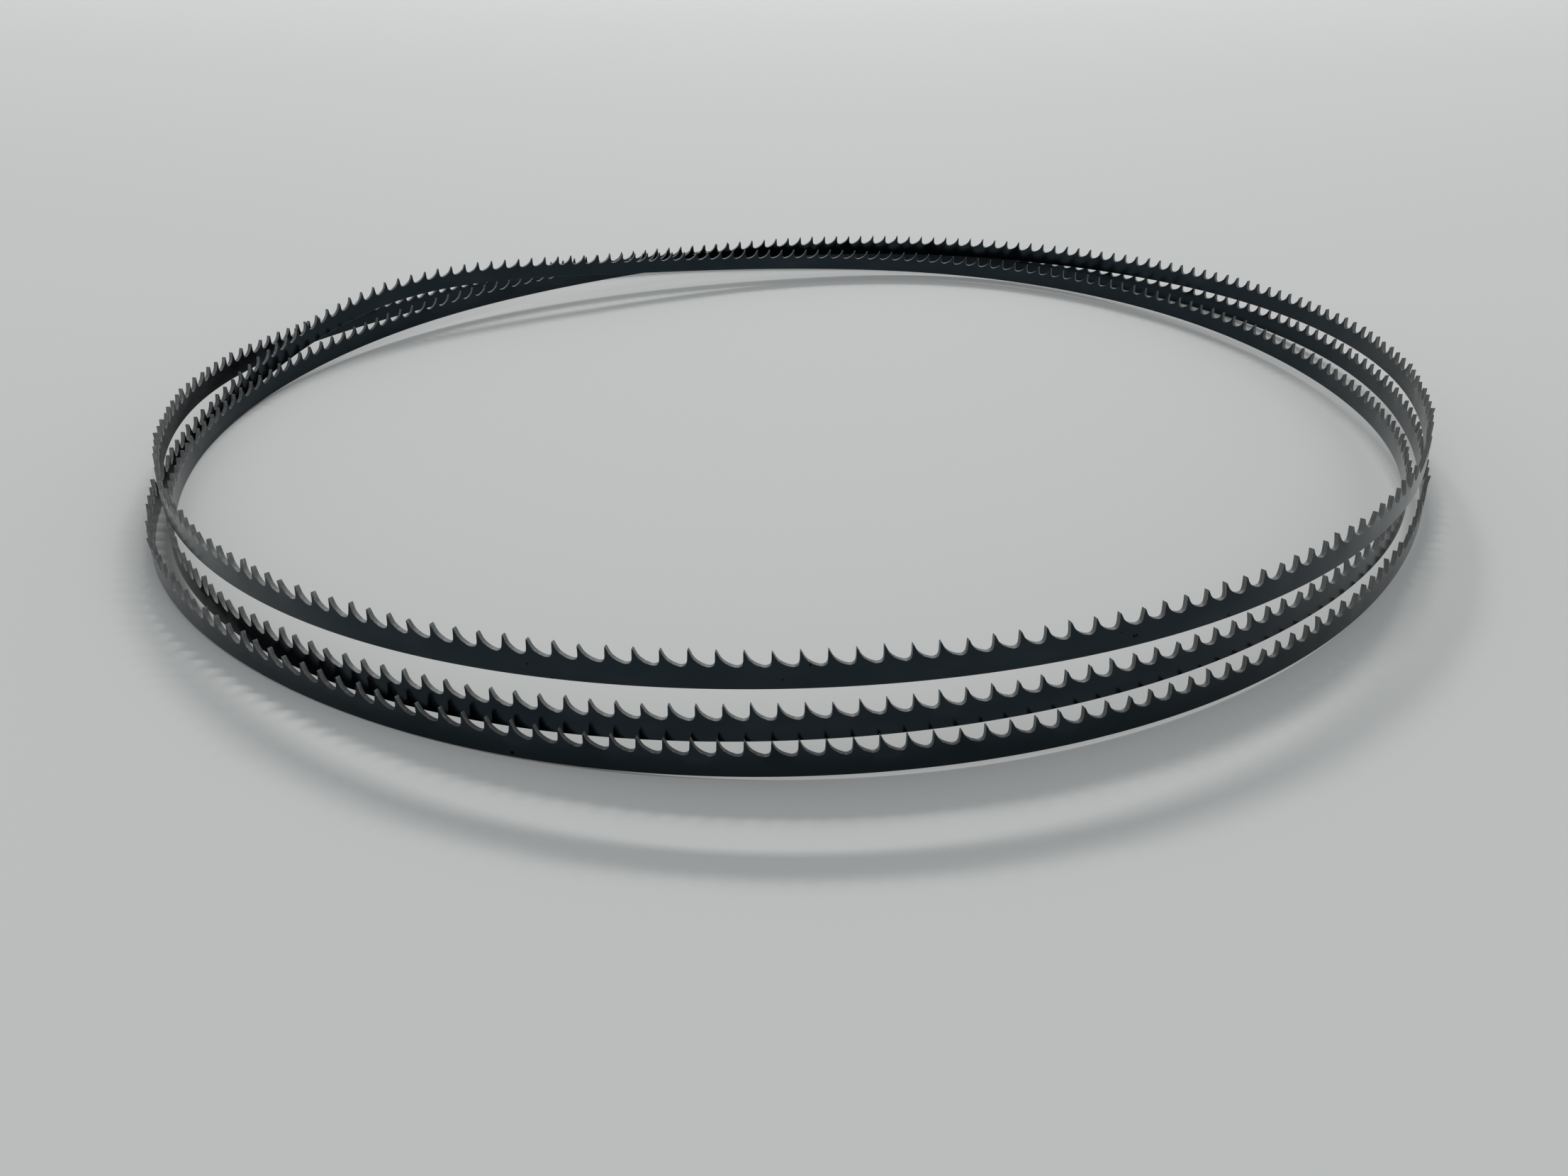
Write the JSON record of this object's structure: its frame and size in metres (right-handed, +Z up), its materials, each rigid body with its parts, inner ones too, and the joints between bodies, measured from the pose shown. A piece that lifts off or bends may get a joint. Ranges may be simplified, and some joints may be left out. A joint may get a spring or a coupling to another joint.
{
  "type": "band saw blade",
  "caption": "Endless narrow toothed steel band for a band saw, coiled into three loops and lying on its back edge with the teeth up.",
  "frame": {"origin": "middle of the coil's bounding box, on the floor that the back edge rests on", "axes": "+Z up, out of the teeth's tips; -Y towards the side where the three loops run stacked one over the other; +X towards the side where the lowest loop swings widest"},
  "size_m": [0.3048, 0.2788, 0.023],
  "materials": {
    "blued_steel": "dark blued spring steel, satin, with lighter ground teeth and gullets"
  },
  "bodies": {
    "root": {"band_saw_blade": "blued_steel"}
  },
  "joints": []
}
